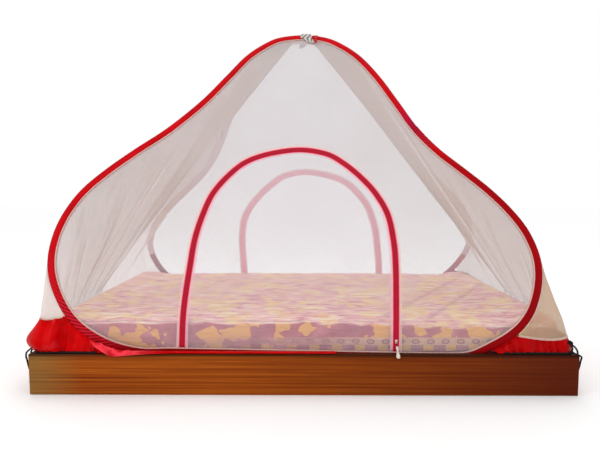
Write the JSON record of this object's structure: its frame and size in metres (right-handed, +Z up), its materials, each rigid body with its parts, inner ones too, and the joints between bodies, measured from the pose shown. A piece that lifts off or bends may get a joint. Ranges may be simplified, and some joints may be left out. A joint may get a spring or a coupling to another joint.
{
  "type": "mosquito net canopy with mattress and bed base",
  "caption": "Pop-up mosquito net canopy on sprung hoops with zipped side doors, a satin skirt and elastic corner loops, on a mattress and a low wooden bed base.",
  "frame": {"origin": "middle of the bed base's footprint on the floor", "axes": "+X along the bed, to the right of someone facing the front door; +Y across the bed, from the front side to the back; +Z up"},
  "size_m": [2.0078, 1.154, 1.4568],
  "materials": {
    "red_binding": "woven tape drawn tight over a sprung wire",
    "white_polyester_net": "fine knitted net, see-through",
    "red_zip_tape": "woven zip tape with pale edges",
    "bright_zip_metal": "polished",
    "red_satin": "satin",
    "grey_tie_tape": "matt woven tape",
    "black_elastic": "braided cord",
    "printed_cotton": "printed cotton, wrinkled",
    "varnished_wood": "varnished"
  },
  "bodies": {
    "root": {"hoop_front": "red_binding", "hoop_back": "red_binding", "net_front": "white_polyester_net", "net_back": "white_polyester_net", "door_front": "white_polyester_net", "door_back": "white_polyester_net", "zip_front": "red_zip_tape", "zip_back": "red_zip_tape", "slider_front": "bright_zip_metal", "slider_back": "bright_zip_metal", "pull_front": "bright_zip_metal", "pull_back": "bright_zip_metal", "net_left": "white_polyester_net", "net_right": "white_polyester_net", "skirt_left": "red_satin", "skirt_right": "red_satin", "skirt_front": "red_satin", "skirt_back": "red_satin", "peak_tie": "grey_tie_tape", "peak_tab": "red_satin", "elastic_front_left": "black_elastic", "elastic_front_right": "black_elastic", "elastic_back_left": "black_elastic", "elastic_back_right": "black_elastic", "mattress": "printed_cotton", "rail_front": "varnished_wood", "rail_back": "varnished_wood", "rail_left": "varnished_wood", "rail_right": "varnished_wood", "deck": "varnished_wood"}
  },
  "joints": []
}
